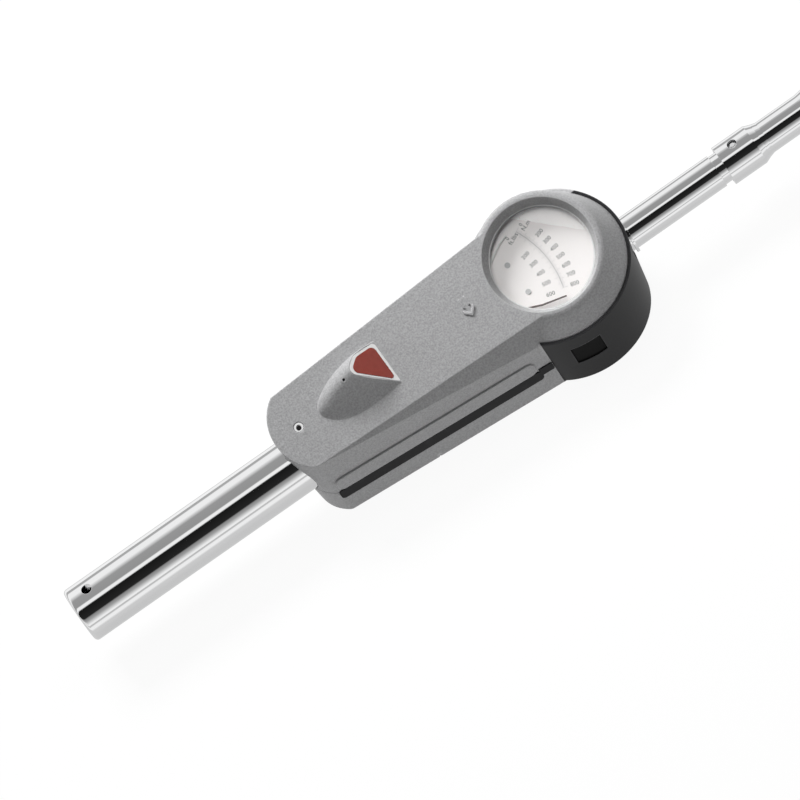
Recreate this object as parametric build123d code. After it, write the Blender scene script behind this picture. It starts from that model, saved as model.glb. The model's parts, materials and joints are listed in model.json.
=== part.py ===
from build123d import *
from math import atan, cos, degrees, pi, radians, sin, tan
import os

# Dial torque wrench, millimetres. Origin: where the drive square's axis crosses the bar's axis.
# +X runs out past the drive head, +Z is the dial side, the handle lies towards -X.

# Long axis, measured from the dial's centre and moved to the drive axis by x_dial
x_dial = -251.0
tube_rear = x_dial - 418.8
tube_front = x_dial - 160.0
root_x = x_dial - 172.0
rear_hole_x = x_dial - 402.7
exit_x = x_dial + 60.7
groove_x = x_dial + 139.4
button_x = x_dial + 158.6
bar_end = x_dial + 168.5

# Handle tube and beam bar
tube_od = 43.2
rear_hole_d = 8.0
bar_d = 25.8
tube_wall = (tube_od - bar_d) / 4
bar_tail = 14.0
groove_len = 5.0
groove_d = bar_d - 2.2
groove_cone = 6.4
root_pin_d = 10.0
bush_play = 0.4
turn_play = 0.05
beam_swing = 1.36

# Housing walls
z_base = -45.0
draft = 4.9
taper_angle = 5.03
body_rear = -218.6
body_rear_half = 26.5
rear_arc_x = -193.3
rear_arc_r = 34.0
rear_arc_near = 140.0
rear_arc_far = 120.0
rear_lean = Vector(-5.5, -6.0, 85.0)
body_front = -12.0
corner_r = 6.0
drum_r = 55.1
drum_draft = 5.75
cone_r = 53.6
wall = 3.0
shell_t = 4.0
shell_left = -36.6
seam_z = -17.6
seam_w = 0.6
seam_depth = 0.5
rim_z = 19.5
rim_slope = 9.0
shell_far_y = 40.0
shell_far_z = 21.5

# Dial face: a plane tilted towards -Y and rising a little towards the front
dial_y = -5.0
dial_z = 43.7
dial_tilt = 25.0
dial_pitch = 1.5
lip_r = 47.2
lip_steps = [(1.7, 0.0), (0.6, 1.3), (0.0, 3.0)]
face_half_rear = 30.6
face_half_front = 37.2
near_bevel = 62.8
far_bevel = 54.0

# Dial window
recess_top_r = 42.0
recess_low_r = 38.3
recess_depth = 9.5
glass_r = 39.0
glass_play = 0.2
gasket_t = 0.8
glass_t = 2.0
keeper_t = 0.6
window_r = 37.6
skirt_wall = 2.6

# Levels under the dial face, measured along its normal
memory_n = -13.4
pointer_n = -14.3
hand_t = 0.4
card_n = -15.4
card_t = 0.8
plate_t = 1.2
works_gap = 5.1
base_plate_t = 2.0
lever_t = 1.6

# Movement
pivot_x = -73.0
pivot_w = -4.8
zero_angle = 29.2
memory_angle = -21.5
gear_module = 0.5
pinion_teeth = 20
sector_teeth = 160
drive_pin_reach = 25.5
drive_pin_d = 3.0
arbor_d = 2.4
stud_d = 4.0
needle_reach = 70.3
collar_d = bar_d + 4.0
collar_len = 8.0
collar_x = pivot_x + gear_module * (pinion_teeth + sector_teeth) / 2 - drive_pin_reach
post_d = 6.0
post_screw_d = 3.0
post_spots = [(-86.0, -22.0), (-86.0, 13.0), (-46.0, -26.0), (-46.0, 18.0)]
card_screw_spots = [(-23.3, 11.2), (-22.2, -13.6)]

# Signal hump on the cover
hump_rear = -193.3
hump_cut_x = -132.8
hump_cut = 30.0
lens_t = 2.4
hump_skin = 2.2

# Side strips
strip_h = 10.6
strip_depth = 1.6
strip_proud = 0.8
strip_z = -21.5
strip_rear = -215.5
strip_front = -46.3
panel_h = 15.0
panel_proud = 1.3

# Drive head
sleeve_d = 31.6
sleeve_mouth = groove_x + groove_len + 1.0
sleeve_end = button_x + 13.8
spigot_play = 0.1
neck_d = 25.4
head_w = 36.4
head_h = 26.6
head_round = 9.0
square = 19.05
square_reach = 23.0
ball_d = 7.0
ball_proud = 1.3
button_d = 7.7
button_nose_d = 6.8

# Fasteners
screw_d = 4.0
screw_head_d = 7.6
boss_d = 9.0
rib = 3.0

# Small sizes of the housing
tube_edge = 1.0
tube_round = 3.0
tube_play = 0.4
exit_play = 1.2
exit_ring_d = bar_d + 5.0
exit_ring_t = 2.0
shutter_x = 39.0
shutter_t = 2.0
shutter_w = 44.0
shutter_h = 32.0
strip_tongue_h = 8.4
strip_tongue_up = 3.4
strip_overlap = 0.8
strip_round = 3.2
clip_x = -9.5
clip_z = -13.0
clip_w = 23.0
clip_h = 20.0
clip_sink = 0.8
bar_tip_round = 3.0
bush_tail = 18.0
tube_bore = tube_od - 2 * tube_wall
seat_d = tube_bore - 1.0
seat_x = root_x - bush_tail - 2.0
root_pin_half = tube_od / 2 + 3.0
clip_gap = 0.3
clip_t = 1.2
clamp_spots = [-201.0, -186.0]
clamp_len = 12.0
saddle_width = tube_od + 5.0
flange_width = tube_od + 11.4
flange_t = 6.0
strap_t = 3.0
clamp_screw_y = tube_od / 2 + 3.2
clamp_screw_len = 12.0
clamp_head_d = 6.6
clamp_head_t = 3.0
rear_screw_x = -211.7
rear_screw_w = 1.1
rear_head_d = 7.0
rear_head_t = 2.2
rear_socket_d = 3.6
rear_screw_low = -17.6
pad_n = -12.0
pad_depth = 16.0
base_screw_spots = [(-140.0, 29.5), (-52.0, 35.0), (22.0, 38.5)]
base_screw_top = -9.0
cover_pillar_top = -5.0
head_sink = 0.6
head_play = 0.2
screw_head_t = 3.6
door_x = -124.0
door_len = 62.0
door_w = 31.0
door_t = 1.8
door_screw_in = 3.2
door_screw_head = 5.0
door_screw_len = 6.0
battery_x = -128.0
battery_len = 48.5
battery_w = 26.5
battery_h = 17.5
battery_low = z_base + door_t + 0.2
contact_t = 1.0
board_x = -147.0
board_w = 1.0
board_len = 34.0
board_wide = 50.0
board_t = 1.6
board_n = -5.0
board_spots = [(-147.0, -20.5), (-147.0, 22.0)]
board_screw_d = 2.2
lamp_x = -146.0
lamp_w = 4.0
lamp_d = 5.0
lamp_top = 2.2
lens_crown = 0.3
lens_corners = [(17.5, 2.4), (-12.8, 2.4), (7.6, 29.0), (15.8, 19.0)]
lens_radii = [4.0, 2.0, 4.5, 7.0]
frame_corners = [(19.3, 0.3), (-15.6, 0.3), (8.0, 32.2), (17.6, 20.5)]
frame_radii = [2.5, 0.8, 5.5, 8.5]
hump_hole_d = 2.0
hump_hole_x = -165.5
hump_hole_w = 6.6
hump_rows = [
    (hump_rear, 3.0, 3.0, 1.2, 0.0),
    (-187.0, 11.0, 9.5, 5.6, 1.5),
    (-177.0, 15.8, 14.5, 9.8, 4.0),
    (-165.0, 18.0, 18.0, 13.2, 6.5),
    (-150.0, 18.0, 19.8, 15.8, 8.0),
    (-130.0, 17.0, 20.6, 17.0, 9.0),
]
arrow_x = -64.0
arrow_tip_w = -7.9
arrow_wing = 4.6
arrow_stroke = 1.8
arrow_bar_x = 2.2
arrow_bar_w = 4.2
arrow_bar_len = 7.6
arrow_proud = 1.0

# Small sizes of the movement and the head
skirt_low = -recess_depth - gasket_t - glass_t - keeper_t
card_r = 40.5
card_screw_head = 4.2
card_screw_head_t = 0.4
card_screw_d = 2.0
bush_d = 5.0
hub_d = 6.0
hub_top = -14.35
memory_hub_d = 5.0
memory_stud_d = 2.0
memory_reach = 76.7
memory_knee = 58.5
memory_crank = 1.9
needle_tail = 13.0
needle_knee = 61.5
needle_crank = 1.7
ring_play = 1.3
pusher_reach = 40.0
pusher_d = 0.9
tooth_share = 0.8
tooth_root = 0.62
tooth_tip = 0.45
sector_first = -4
sector_last = 2
sector_hub_d = 9.0
lever_low = -21.2
hair_turns = 4.0
hair_inner = 1.3
hair_outer = 7.2
hair_t = 0.3
hair_post_reach = 8.1
hair_post_d = 1.6
post_screw_top = -6.0
post_head_t = 2.0
lug_low = -37.0
lug_top = -26.4
drive_pin_low = -29.6
neck_front = -36.0
square_corner = 1.0
square_lead = 1.5
square_shank_d = 16.0
square_turn = 45.0
shank_top = 4.0
ball_z = -26.5
ball_bore_depth = 8.5
ball_x = square / 2 + ball_proud - ball_d / 2
button_floor = 2.0
button_foot = 6.0
button_shoulder = 10.6
button_top = 14.2
button_round = 2.0
button_hole_d = 7.3

os.makedirs("parts", exist_ok=True)

big = 400.0
slope = Vector(0, cos(radians(dial_tilt)), sin(radians(dial_tilt)))
ahead = Vector(cos(radians(dial_pitch)), 0, sin(radians(dial_pitch)))
dial_origin = Vector(x_dial, dial_y, dial_z)
dial_plane = Plane(origin=dial_origin, x_dir=ahead, z_dir=ahead.cross(slope))
rim_plane = Plane(origin=(x_dial, 0, rim_z), x_dir=(1, 0, 0),
                  z_dir=(0, -sin(radians(rim_slope)), cos(radians(rim_slope))))
plate_n = card_n - card_t
works_n = plate_n - plate_t
base_plate_n = works_n - works_gap
works_low = base_plate_n - base_plate_t
sector_r = gear_module * sector_teeth / 2
pinion_r = gear_module * pinion_teeth / 2
stud_x = pivot_x + pinion_r + sector_r


def on_dial(x, w, n):
    """A location on the dial's plane: x along it, w up its slope, n along its normal."""
    return dial_plane * Location((x, w, n))


def above(plane, level=0.0):
    """A large block that fills the space over a plane."""
    return plane * Location((0, 0, level + big / 2)) * Box(big * 3, big * 3, big)


def rod(d, start, end, y=0.0, z=0.0):
    """A round bar along X."""
    place = Plane(origin=(start, y, z), x_dir=(0, 1, 0), z_dir=(1, 0, 0))
    return extrude(place * Circle(d / 2), end - start)


def peg(d, at, low, high):
    """A round peg along Z."""
    return Pos(at[0], at[1], low) * Cylinder(d / 2, high - low, align=(Align.CENTER, Align.CENTER, Align.MIN))


def disc(d, x, w, low, high):
    """A round disc along the dial's normal."""
    return on_dial(x, w, low) * Cylinder(d / 2, high - low, align=(Align.CENTER, Align.CENTER, Align.MIN))


def slab(outline, low, high):
    """An outline drawn on the dial's plane, given a thickness."""
    return extrude(on_dial(0, 0, low) * outline, high - low)


def half_width(x):
    """Half the body's width at the base, x measured from the dial's centre."""
    return body_rear_half + (x - body_rear) * tan(radians(taper_angle))


def wedge_outline(inset):
    """The tapered body in plan at the base, longer than the body at both ends."""
    step = inset / cos(radians(taper_angle))
    start = rear_arc_x - 2 * rear_arc_r
    sides = [(start, half_width(start) - step), (body_front, half_width(body_front) - step)]
    return make_face(Polyline(*sides, *[(x, -y) for x, y in reversed(sides)], close=True))


def rear_outline(inset):
    """The plan that rounds the body's rear: an arc that opens out towards the front."""
    r = rear_arc_r - inset
    reach = body_front - rear_arc_x + drum_r
    points = []
    for side, span in ((-1, radians(rear_arc_near)), (1, radians(rear_arc_far))):
        start = (rear_arc_x + r * cos(span), side * r * sin(span))
        end = (start[0] + reach, start[1] + side * reach / tan(span - pi / 2))
        points.append([start, end])
    opening = make_face(Polyline(*points[0], *reversed(points[1]), close=True))
    return opening + Pos(rear_arc_x, 0) * Circle(r)


def bevel_block(side, angle, inset):
    """The space outside one of the two bevels between the body's face and its sides."""
    rear = dial_plane.from_local_coords((body_rear, side * face_half_rear, 0))
    front = dial_plane.from_local_coords((shell_left, side * face_half_front, 0))
    along = (front - rear).normalized()
    down = Vector(0, side * cos(radians(angle)), -sin(radians(angle)))
    out = along.cross(down) * side
    return above(Plane(origin=rear, x_dir=along, z_dir=out), -inset)


def body_form(inset):
    """The body's outer form, all faces moved in by inset."""
    place = Pos(x_dial, 0, z_base)
    form = extrude(place * wedge_outline(inset), big / 3, taper=-draft)
    form &= extrude(place * rear_outline(inset), big / 3, dir=rear_lean.normalized())
    tall = form.edges().filter_by(lambda edge: edge.bounding_box().size.Z > big / 4)
    rear = tall.filter_by(lambda edge: edge.center().X < x_dial + rear_arc_x).sort_by(Axis.Y)
    form = fillet(rear[0], max(corner_r - inset, 1.5))
    form -= above(dial_plane, -inset)
    form -= bevel_block(-1, near_bevel, inset)
    form -= bevel_block(1, far_bevel, inset)
    return form


def flared(low_r, angle):
    """A flared round wall that stands on the base and ends at the rim plane."""
    height = big / 4
    wall_form = Cone(low_r, low_r + height * tan(radians(angle)), height,
                     align=(Align.CENTER, Align.CENTER, Align.MIN))
    return Pos(x_dial, 0, z_base) * wall_form


def drum_form(inset):
    """The drum's outer form: a flared wall up to the rim, a ledge, and a cone up to the dial's lip."""
    drum = flared(drum_r - inset / cos(radians(drum_draft)), drum_draft) - above(rim_plane, -inset / 2)
    under = flared(cone_r - inset / cos(radians(draft)), draft) - above(rim_plane, -inset / 2)
    rings = [under.faces().sort_by(Axis.Z)[-1]]
    for down, back in lip_steps:
        ring = on_dial(0, 0, -down - inset) * Circle(lip_r - back - inset * 0.7)
        rings.append(ring.face())
    for low, high in zip(rings, rings[1:]):
        drum += loft([low, high], ruled=True)
    return drum


def casing_form(inset, drum_inset):
    """Body and drum together."""
    return body_form(inset) + drum_form(drum_inset)


def shell_zone():
    """The space that the front shell takes its piece of the drum from, lower on the far side."""
    front = Pos(x_dial + shell_left + big / 2, 0, 0) * Box(big, big, big)
    far_edge = Pos(x_dial, shell_far_y + big / 2, shell_far_z + big / 2) * Box(big, big, big)
    return front - above(rim_plane) - far_edge


def raised(level):
    """Everything over a horizontal level."""
    return above(Plane.XY.offset(level))


def inner_form():
    """The hollow inside the casing, one wall thickness in from tray, cover and shell."""
    deep = shell_t + wall
    near_shell = Pos(x_dial + shell_left - wall + big / 2, 0, 0) * Box(big, big, big) - above(rim_plane, wall)
    body = (casing_form(wall, wall) & raised(z_base + wall)) - near_shell
    front = casing_form(deep, deep) & raised(z_base + deep) & near_shell
    return body + front


def wall_plane(side, x, z):
    """A plane on the body's side wall: its x runs forward, its z points out."""
    y = half_width(x) + (z - z_base) * tan(radians(draft)) / cos(radians(taper_angle))
    turn, lean = radians(taper_angle), radians(draft)
    forward = Vector(cos(turn), side * sin(turn), 0)
    out = Vector(-sin(turn) * cos(lean), side * cos(turn) * cos(lean), -sin(lean))
    return Plane(origin=(x_dial + x, side * y, z), x_dir=forward, z_dir=out)


def strip_outline(side):
    """The side strip: a long band with rounded ends and a tongue, set higher, up to the shell."""
    length = strip_front - strip_rear
    tongue = shell_left - strip_front + strip_overlap
    band = RectangleRounded(length, strip_h, strip_round)
    tail = Pos((length + tongue) / 2 - strip_overlap, -side * strip_tongue_up) * Rectangle(tongue, strip_tongue_h)
    return wall_plane(side, (strip_front + strip_rear) / 2, strip_z) * (band + tail)


def side_strip(side):
    """One rubber strip in its groove over the seam."""
    outline = strip_outline(side)
    strip = extrude(outline, strip_proud) + extrude(outline, -strip_depth)
    return strip - front_space()


def front_space():
    """Everything in front of the shell's rear edge."""
    return Pos(x_dial + shell_left + big / 2, 0, 0) * Box(big, big, big)


def grip_panel(side):
    """The raised panel over a side strip."""
    length = strip_front - strip_rear - 2 * strip_overlap - 1
    place = wall_plane(side, (strip_front + strip_rear) / 2, strip_z)
    outline = place * Pos(0, -side * (strip_h + panel_h) / 2) * RectangleRounded(length, panel_h, panel_h / 2.6)
    panel = extrude(outline, panel_proud) + extrude(outline, -wall / 2)
    top = max(panel.faces(), key=lambda face: (face.center() - place.origin).dot(place.z_dir))
    return chamfer(top.edges(), panel_proud * 0.7)


def hump_section(x, near, far, height, ridge, low):
    """One cross-section of the signal hump, drawn across the dial's plane."""
    rise = near + ridge
    crown = Spline((-near, 0), (-near + rise * 0.4, height * 0.41), (-near + rise * 0.8, height * 0.84),
                   (ridge + 1.5, height), (far * 0.91, height * 0.6), (far, 0))
    base = Polyline((far, 0), (far, low), (-near, low), (-near, 0))
    place = Plane(origin=dial_plane.from_local_coords((x, 0, 0)), x_dir=slope, z_dir=ahead)
    return place * make_face([*crown.edges(), *base.edges()])


def hump_form(inset, low):
    """The hump before its slanted front is cut."""
    rows = [row for row in hump_rows if row[3] > inset + 1]
    sections = [
        hump_section(x, near - inset, far - inset, height - inset, ridge, low)
        for x, near, far, height, ridge in rows
    ]
    return loft(sections)


def cut_plane():
    """The hump's slanted front: x runs up the dial's slope, y up the cut, z points out."""
    lean = radians(hump_cut)
    up = dial_plane.x_dir * -cos(lean) + dial_plane.z_dir * sin(lean)
    out = dial_plane.x_dir * sin(lean) + dial_plane.z_dir * cos(lean)
    return Plane(origin=dial_plane.from_local_coords((hump_cut_x, 0, 0)), x_dir=up.cross(out), z_dir=out)


def rounded_outline(corners, radii):
    """A polygon with its own radius at each corner, on the hump's front."""
    face = make_face(Polyline(*corners, close=True))
    for corner, radius in zip(corners, radii):
        near = min(face.vertices(), key=lambda v: (v.X - corner[0]) ** 2 + (v.Y - corner[1]) ** 2)
        face = fillet(near, radius)
    return face


def lens_outline():
    """The signal lens, a rounded triangle."""
    return cut_plane() * rounded_outline(lens_corners, lens_radii)


def frame_outline(grow=0.0):
    """The outside of the light frame round the lens."""
    face = rounded_outline(frame_corners, frame_radii)
    if grow:
        face = offset(face, grow)
    return cut_plane() * face


def tooth_points(teeth, centre):
    """One gear tooth's corners, with its centre at an angle in degrees."""
    pitch = gear_module * teeth / 2
    half = tooth_share * pi * gear_module / 4
    flank = tan(radians(20))
    levels = [(-tooth_root, half + tooth_root * flank), (tooth_tip, half - tooth_tip * flank)]
    rising = [(pitch + up, atan(width / pitch)) for up, width in levels]
    turn = radians(centre)
    left = [(r * cos(turn - a), r * sin(turn - a)) for r, a in rising]
    right = [(r * cos(turn + a), r * sin(turn + a)) for r, a in reversed(rising)]
    return left + right


def pinion_outline():
    """The whole pinion, with a gap towards the sector."""
    step = 360 / pinion_teeth
    points = [p for k in range(pinion_teeth) for p in tooth_points(pinion_teeth, (k + 0.5) * step)]
    return Pos(pivot_x, pivot_w) * make_face(Polyline(*points, close=True))


def sector_outline():
    """The toothed lever: a wedge from the stud to its teeth, which face the pinion."""
    step = 360 / sector_teeth
    teeth = [p for k in range(sector_first, sector_last + 1) for p in tooth_points(sector_teeth, 180 + k * step)]
    reach = sector_r - tooth_root
    shoulder = [(reach * cos(radians(a)), reach * sin(radians(a)))
                for a in (180 + (sector_last + 0.7) * step, 180 + (sector_first - 0.7) * step)]
    root = [(0, -sector_hub_d / 2), (0, sector_hub_d / 2)]
    wedge = make_face(Polyline(*teeth, shoulder[0], *root, shoulder[1], close=True))
    wedge += Circle(sector_hub_d / 2)
    wedge -= Pos(-drive_pin_reach, 0) * SlotOverall(drive_pin_d * 2.6, drive_pin_d + 2 * turn_play)
    wedge -= Pos(-sector_hub_d * 1.15, 0) * SlotOverall(sector_hub_d * 0.9, stud_d * 0.7)
    wedge -= Circle(stud_d / 2 + turn_play)
    return Pos(stud_x, pivot_w) * wedge


def spiral_outline():
    """The hairspring: a flat ribbon wound about the arbor."""
    steps = int(hair_turns * 24)

    def ring(extra):
        points = []
        for k in range(steps + 1):
            turn = 2 * pi * hair_turns * k / steps
            r = hair_inner + (hair_outer - hair_inner) * k / steps + extra
            points.append((r * cos(turn), r * sin(turn)))
        return points

    ribbon = make_face(Polyline(*ring(0), *reversed(ring(hair_t)), close=True))
    return Pos(pivot_x, pivot_w) * Rot(0, 0, 180) * ribbon


def needle_outline():
    """The pointer's blade with its short tail, a little cranked near its tip, along local X."""
    turn = radians(needle_crank)
    knee = (needle_knee * cos(turn), needle_knee * sin(turn))
    blade = Polyline((-needle_tail, -2.2), (-needle_tail, 2.2), (0, 1.3), (knee[0], knee[1] + 0.65),
                     (needle_reach, 0.45), (needle_reach, -0.45), (knee[0], knee[1] - 0.65), (0, -1.3), close=True)
    return make_face(blade) + Circle(hub_d / 2 + 1.2) - Circle(hub_d / 2)


def memory_outline():
    """The cranked memory hand: a straight arm and a bar at its tip, along local X."""
    turn = radians(memory_crank)
    knee = (memory_knee * cos(turn), -memory_knee * sin(turn))
    arm = Polyline((0, 1.0), (knee[0], knee[1] + 0.6), (memory_reach, 0.55), (memory_reach, -0.55),
                   (knee[0], knee[1] - 0.7), (0, -1.0), close=True)
    return make_face(arm) + Circle(memory_hub_d / 2 + 1.2) - Circle(memory_hub_d / 2)


def plate_outline(front):
    """The plate between the four posts, reaching forward to the stud or under the card."""
    rear = min(x for x, w in post_spots) - post_d
    low = min(w for x, w in post_spots) - post_d
    high = max(w for x, w in post_spots) + post_d
    mid = max(x for x, w in post_spots) + post_d
    outline = Pos((rear + mid) / 2, (low + high) / 2) * RectangleRounded(mid - rear, high - low, post_d / 2)
    nose = Pos((mid + front) / 2 - post_d / 2, pivot_w) * RectangleRounded(
        front - mid + post_d, sector_hub_d * 2.4, post_d / 2)
    return outline + nose


def post_holes(d):
    """The four screw holes of a plate."""
    return Sketch() + [Pos(x, w) * Circle(d / 2) for x, w in post_spots]


def tube_ring(length, at):
    """A stretch of the handle tube's outside, to cut what holds it."""
    return rod(tube_od, at - length, at + length)


def handle_tube():
    """The tube: a rounded mouth, a plain bore for an extension, then a narrower seat for the bush."""
    tube = rod(tube_od, tube_rear, tube_front)
    tube -= rod(tube_bore, tube_rear - 1, seat_x)
    tube -= rod(seat_d, seat_x - 1, tube_front + 1)
    ends = tube.edges().filter_by(GeomType.CIRCLE).group_by(Axis.X)
    tube = chamfer(ends[0].sort_by(SortBy.RADIUS)[:1] + ends[-1], tube_edge)
    mouth = tube.edges().filter_by(GeomType.CIRCLE).group_by(Axis.X)[0]
    tube = fillet(mouth.sort_by(SortBy.RADIUS)[-1], tube_round)
    tube -= peg(rear_hole_d, (rear_hole_x, 0), 0, tube_od)
    return tube - peg(root_pin_d, (root_x, 0), -tube_od, tube_od)


def root_bush():
    """The bush in the tube's seat, with room for the bar to swing."""
    bush = rod(seat_d, root_x - bush_tail, tube_front)
    bush -= rod(bar_d + 2 * bush_play, root_x - bush_tail - 1, tube_front + 1)
    return bush - peg(root_pin_d, (root_x, 0), -tube_od, tube_od)


def beam_bar():
    """The round beam bar, with the groove and the button bore in its front end."""
    bar = rod(bar_d, root_x - bar_tail, bar_end)
    tip = bar.edges().filter_by(GeomType.CIRCLE).sort_by(Axis.X)[-1]
    bar = fillet(tip, bar_tip_round)
    groove_end = groove_x + groove_len
    cone_end = groove_end + groove_cone
    profile = Polyline((groove_x, bar_d), (groove_x, groove_d / 2), (groove_end, groove_d / 2),
                       (cone_end, bar_d / 2), (cone_end, bar_d), close=True)
    bar -= revolve(make_face(Plane.XZ * profile), Axis.X)
    bar -= peg(root_pin_d + 2 * turn_play, (root_x, 0), -bar_d, bar_d)
    return bar - peg(button_d + 2 * turn_play, (button_x, 0), button_floor, bar_d)


def root_pin():
    """The cross pin that holds the bar in the tube."""
    return peg(root_pin_d, (root_x, 0), -root_pin_half, root_pin_half)


def pin_clips():
    """The two retaining clips on the root pin."""
    low = tube_od / 2 + clip_gap
    clips = [peg(root_pin_d * 1.45, (root_x, 0), z, z + clip_t) for z in (low, -low - clip_t)]
    return Part() + [clip - root_pin() for clip in clips]


def clamp_saddles():
    """The blocks that carry the handle tube from below."""
    saddles = Part()
    floor = z_base + wall
    for x in clamp_spots:
        block = Pos(x_dial + x, 0, (floor - flange_t) / 2) * Box(clamp_len, saddle_width, -floor - flange_t)
        flange = Pos(x_dial + x, 0, -flange_t / 2) * Box(clamp_len, flange_width, flange_t)
        saddles += block + flange - tube_ring(clamp_len, x_dial + x)
    return saddles - clamp_screw_shanks()


def clamp_straps():
    """The arches over the tube, with the seat of the rear screw."""
    straps = Part()
    for x in clamp_spots:
        arch = rod(tube_od + 2 * strap_t, x_dial + x - clamp_len / 2, x_dial + x + clamp_len / 2)
        arch &= raised(0)
        flange = Pos(x_dial + x, 0, flange_t / 2) * Box(clamp_len, flange_width, flange_t)
        straps += arch + flange - tube_ring(clamp_len, x_dial + x)
    pad_x = (rear_screw_x - boss_d / 2 + clamp_spots[0]) / 2
    pad_len = clamp_spots[0] - rear_screw_x + boss_d / 2
    pad = on_dial(pad_x, rear_screw_w, pad_n - pad_depth / 2) * Box(pad_len, boss_d, pad_depth)
    straps += pad - tube_ring(2 * clamp_len, x_dial + clamp_spots[0])
    straps -= disc(screw_d, rear_screw_x, rear_screw_w, rear_screw_low, 0)
    return straps - clamp_screw_shanks() - clamp_screw_heads(0.2)


def clamp_screw_places():
    """Where the strap screws stand, as plan points."""
    return [(x_dial + x, side * clamp_screw_y) for x in clamp_spots for side in (-1, 1)]


def clamp_screw_shanks():
    """The shanks of the strap screws, also the holes that they pass through."""
    return Part() + [peg(screw_d, at, -clamp_screw_len, flange_t) for at in clamp_screw_places()]


def clamp_screw_heads(play=0.0):
    """The heads of the strap screws, grown by a clearance where they cut a pocket."""
    top = flange_t + clamp_head_t
    if play:
        top += big
    return Part() + [peg(clamp_head_d + 2 * play, at, flange_t, top) for at in clamp_screw_places()]


def clamp_screws():
    """Four socket screws that hold the straps down."""
    sockets = [peg(clamp_head_d / 2, at, flange_t + clamp_head_t / 2, flange_t + clamp_head_t + 1)
               for at in clamp_screw_places()]
    return clamp_screw_shanks() + clamp_screw_heads() - sockets


def base_screw_places():
    """Where the screws come up from below, as plan points."""
    return [(x_dial + x, side * y) for x, y in base_screw_spots for side in (-1, 1)]


def base_screw_holes():
    """Holes and head pockets for the base screws."""
    top = z_base + head_sink + screw_head_t
    holes = [peg(screw_d, at, z_base - 1, base_screw_top) for at in base_screw_places()]
    pockets = [peg(screw_head_d + 2 * head_play, at, z_base - 1, top) for at in base_screw_places()]
    return Part() + holes + pockets


def base_screws():
    """Six socket screws, sunk a little into the base."""
    low = z_base + head_sink
    shanks = [peg(screw_d, at, low, base_screw_top) for at in base_screw_places()]
    heads = [peg(screw_head_d, at, low, low + screw_head_t) for at in base_screw_places()]
    sockets = [peg(screw_head_d / 2, at, z_base, low + screw_head_t / 2) for at in base_screw_places()]
    return Part() + shanks + heads - sockets


def base_pillars(low, high, reach):
    """Screw pillars with ribs out to the side walls, short of the strips' grooves."""
    pillars = [peg(boss_d, at, low, high) for at in base_screw_places()]
    for x, y in base_screw_places():
        side = 1 if y > 0 else -1
        pillars.append(Pos(x, y + side * reach / 2, (low + high) / 2) * Box(boss_d / 2, reach, high - low))
    return (Part() + pillars) & pillar_zone


def exit_slot(play):
    """The slot that the bar swings in at the front of the casing."""
    travel = (exit_x - root_x) * sin(radians(beam_swing))
    d = bar_d + 2 * play
    ends = [rod(d, exit_x - drum_r / 2, exit_x + bar_d, y=y) for y in (0, -travel)]
    middle = Pos(exit_x, -travel / 2, 0) * Box(drum_r, travel, d)
    return ends[0] + ends[1] + middle


def ring_pocket():
    """The shallow pocket that the exit ring swings in."""
    travel = (exit_x - root_x) * sin(radians(beam_swing))
    d = exit_ring_d + 2 * ring_play
    low = exit_x - exit_ring_t / 2 - 0.5
    ends = [rod(d, low, low + bar_d, y=y) for y in (0, -travel)]
    middle = Pos(low + bar_d / 2, -travel / 2, 0) * Box(bar_d, travel, d)
    return ends[0] + ends[1] + middle


def front_shell(outer):
    """The black shell around the front of the casing."""
    core = casing_form(shell_t, shell_t) & raised(z_base + shell_t)
    shell = (outer & shell_zone()) - core
    return shell


def clip_windows(grow=0.0):
    """The two openings in the sides of the shell."""
    window = Box(clip_w + 2 * grow, drum_r, clip_h + 2 * grow)
    return Part() + [Pos(x_dial + clip_x, side * drum_r, clip_z) * window for side in (-1, 1)]


def shell_clips():
    """The clips that show in the windows of the shell."""
    return (drum_form(clip_sink) - drum_form(shell_t)) & clip_windows()


def battery_door():
    """The cover of the battery, flush with the base."""
    door = Pos(x_dial + door_x, 0, z_base + door_t / 2) * Box(door_len - 0.6, door_w - 0.6, door_t)
    return door - door_screw()


def door_screw():
    """The screw that holds the battery cover."""
    at = (x_dial + door_x + door_len / 2 - door_screw_in, 0)
    return peg(door_screw_head, at, z_base + 0.2, z_base + door_t) + peg(
        post_screw_d, at, z_base + door_t, z_base + door_t + door_screw_len)


def lower_tray(gray):
    """The casing below the seam."""
    tray = gray - raised(seam_z)
    tray += gray & Pos(x_dial + body_rear - 2 * wall, 0, seam_z / 2) * Box(
        8 * wall, tube_od + 2 * tube_play - 0.3, -seam_z)
    tray -= rod(tube_od + 2 * tube_play, x_dial - drum_r * 5, x_dial + body_rear + wall * 2)
    floor = z_base + wall
    tray += base_pillars(z_base + shell_t, seam_z, boss_d / 2)
    boss_x = x_dial + door_x + door_len / 2 - door_screw_in
    tray += peg(boss_d, (boss_x, 0), floor - wall / 2, floor + door_screw_len)
    tray -= Pos(x_dial + door_x, 0, z_base) * Box(door_len, door_w, 2 * door_t)
    tray -= Pos(x_dial + battery_x, 0, z_base) * Box(battery_len + 1, battery_w + 1, 3 * wall)
    return tray - door_screw() - base_screw_holes()


def dial_recess():
    """The round window: a cone down to the glass and the pocket that the glass sits in."""
    low = -recess_depth
    cone = on_dial(0, 0, low) * Cone(recess_low_r, recess_top_r, recess_depth,
                                     align=(Align.CENTER, Align.CENTER, Align.MIN))
    cone += disc(2 * recess_top_r, 0, 0, -0.01, wall)
    pocket = disc(2 * (glass_r + glass_play), 0, 0, skirt_low - 1, low)
    return cone + pocket


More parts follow.
